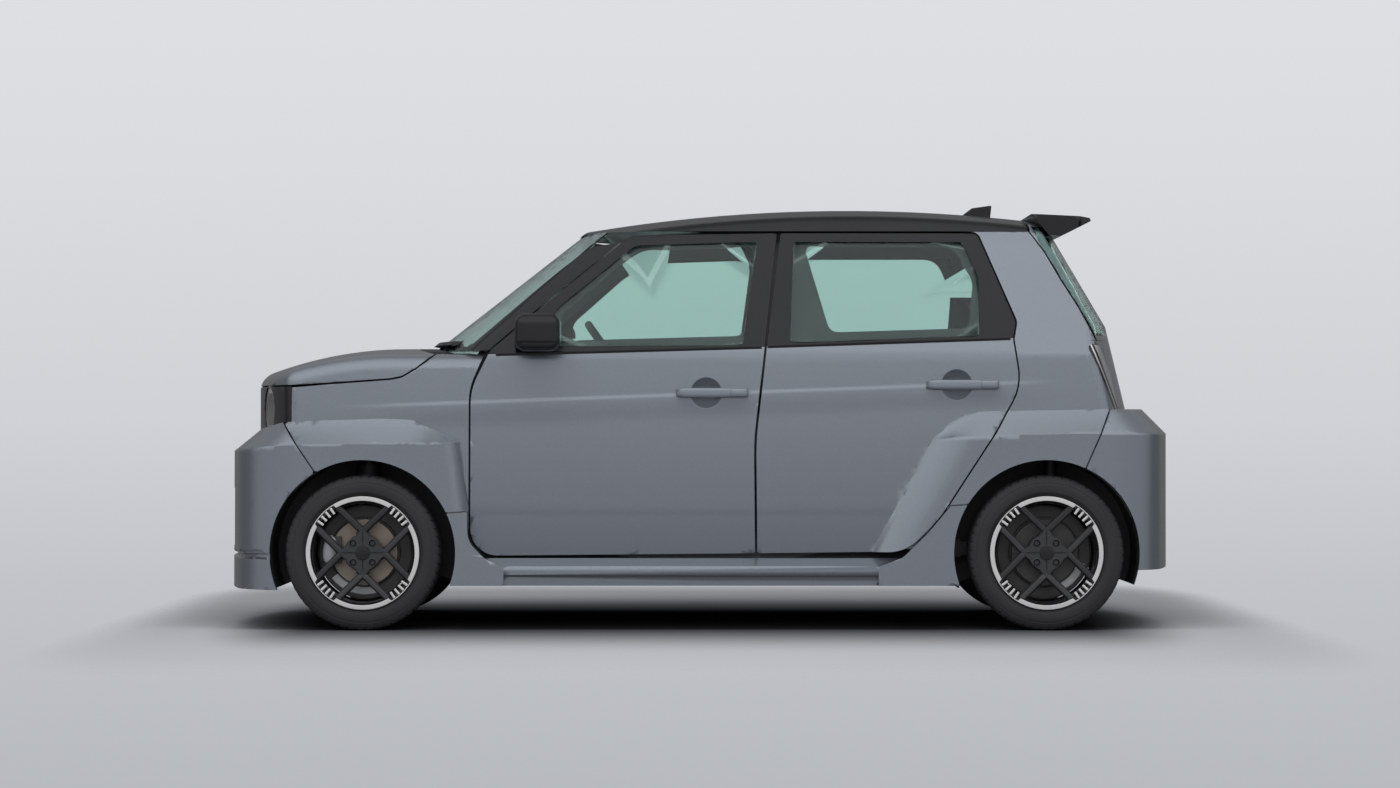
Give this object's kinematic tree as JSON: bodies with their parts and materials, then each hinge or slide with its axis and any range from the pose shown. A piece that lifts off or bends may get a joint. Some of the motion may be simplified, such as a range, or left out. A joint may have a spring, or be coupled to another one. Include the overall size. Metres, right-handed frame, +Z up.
{
  "type": "city car",
  "caption": "Small five-door electric city car with opening doors, bonnet and tailgate, wheels that turn and steer, and a furnished cabin.",
  "frame": {"origin": "on the floor under the centre of the overall box, which is the middle of the car's length", "axes": "+X towards the nose, +Y to the car's left side, +Z up"},
  "size_m": [3.58, 1.794, 1.6082],
  "materials": {
    "paint": "satin blue-grey body paint",
    "roof_paint": "gloss black paint",
    "gloss_black": "gloss black trim",
    "dark_plastic": "moulded dark plastic",
    "shell_paint": "body shell in paint",
    "window_glass": "green-tinted glass",
    "lamp_glass": "clear lamp cover",
    "tail_glass": "tail lamp cover",
    "tyre": "black rubber",
    "alloy": "dark alloy with a machined rim",
    "steel": "coated steel",
    "iron": "cast iron",
    "motor": "cast housing",
    "seat_fabric": "woven dark grey fabric",
    "cabin_plastic": "grained dark plastic",
    "rim_cover": "black leather"
  },
  "bodies": {
    "body_shell": {"wings": "paint", "quarters": "paint", "side_frames": "shell_paint", "front_pillars": "roof_paint", "side_skirts": "paint", "tail_lamps": "tail_glass", "arch_flares": "paint", "headlamps": "lamp_glass", "powertrain": "motor", "front_seats": "seat_fabric", "wipers": "dark_plastic", "cowl": "dark_plastic", "nose_panel": "gloss_black", "front_bumper": "paint", "grille": "dark_plastic", "rear_bumper": "paint", "roof": "roof_paint", "antenna_fin": "gloss_black", "windscreen": "window_glass", "front_structure": "shell_paint", "floor": "shell_paint", "front_suspension": "steel", "rear_axle": "steel", "rear_bench": "seat_fabric", "dashboard": "cabin_plastic"},
    "front_door_left": {"door_front_left": "paint", "glass_front_left": "window_glass", "door_mirror_left": "gloss_black"},
    "rear_door_left": {"door_rear_left": "paint", "glass_rear_left": "window_glass"},
    "steered_left": {"knuckle_left": "iron"},
    "roller_front_left": {"wheel_front_left": "alloy", "tyre_front_left": "tyre"},
    "roller_rear_left": {"wheel_rear_left": "alloy", "tyre_rear_left": "tyre"},
    "front_door_right": {"door_front_right": "paint", "glass_front_right": "window_glass", "door_mirror_right": "gloss_black"},
    "rear_door_right": {"door_rear_right": "paint", "glass_rear_right": "window_glass"},
    "steered_right": {"knuckle_right": "iron"},
    "roller_front_right": {"wheel_front_right": "alloy", "tyre_front_right": "tyre"},
    "roller_rear_right": {"wheel_rear_right": "alloy", "tyre_rear_right": "tyre"},
    "bonnet_lid": {"bonnet": "paint"},
    "tail_lid": {"tailgate": "paint", "rear_glass": "window_glass", "spoiler": "gloss_black"},
    "hand_wheel": {"steering_wheel": "rim_cover"}
  },
  "joints": [
    {"name": "front_door_left_hinge", "type": "hinge", "parent": "body_shell", "child": "front_door_left", "pos_m": [0.849, 0.737, 0.7], "axis": [0, 0, -1], "range_deg": [0, 65]},
    {"name": "rear_door_left_hinge", "type": "hinge", "parent": "body_shell", "child": "rear_door_left", "pos_m": [-0.208, 0.737, 0.7], "axis": [0, 0, -1], "range_deg": [0, 75]},
    {"name": "steer_left", "type": "hinge", "parent": "body_shell", "child": "steered_left", "pos_m": [1.243, 0.632, 0.286], "axis": [0, 0, 1], "range_deg": [-35, 35]},
    {"name": "front_wheel_left_axle", "type": "hinge", "parent": "steered_left", "child": "roller_front_left", "pos_m": [1.243, 0.677, 0.286], "axis": [0, 1, 0], "continuous": true},
    {"name": "rear_wheel_left_axle", "type": "hinge", "parent": "body_shell", "child": "roller_rear_left", "pos_m": [-1.277, 0.677, 0.286], "axis": [0, 1, 0], "continuous": true},
    {"name": "front_door_right_hinge", "type": "hinge", "parent": "body_shell", "child": "front_door_right", "pos_m": [0.849, -0.737, 0.7], "axis": [0, 0, 1], "range_deg": [0, 65]},
    {"name": "rear_door_right_hinge", "type": "hinge", "parent": "body_shell", "child": "rear_door_right", "pos_m": [-0.208, -0.737, 0.7], "axis": [0, 0, 1], "range_deg": [0, 75]},
    {"name": "steer_right", "type": "hinge", "parent": "body_shell", "child": "steered_right", "pos_m": [1.243, -0.632, 0.286], "axis": [0, 0, 1], "range_deg": [-35, 35]},
    {"name": "front_wheel_right_axle", "type": "hinge", "parent": "steered_right", "child": "roller_front_right", "pos_m": [1.243, -0.677, 0.286], "axis": [0, 1, 0], "continuous": true},
    {"name": "rear_wheel_right_axle", "type": "hinge", "parent": "body_shell", "child": "roller_rear_right", "pos_m": [-1.277, -0.677, 0.286], "axis": [0, 1, 0], "continuous": true},
    {"name": "bonnet_hinge", "type": "hinge", "parent": "body_shell", "child": "bonnet_lid", "pos_m": [0.969, 0, 1.05], "axis": [0, -1, 0], "range_deg": [0, 50]},
    {"name": "tailgate_hinge", "type": "hinge", "parent": "body_shell", "child": "tail_lid", "pos_m": [-1.234, 0, 1.548], "axis": [0, 1, 0], "range_deg": [0, 75]},
    {"name": "hand_wheel_column", "type": "hinge", "parent": "body_shell", "child": "hand_wheel", "pos_m": [0.366, -0.34, 0.991], "axis": [-0.8211, 0, 0.5708], "range_deg": [-500, 500]}
  ],
  "couplings": [
    {"joint": "steer_right", "follows": "steer_left", "ratio": 1},
    {"joint": "hand_wheel_column", "follows": "steer_left", "ratio": 14}
  ]
}
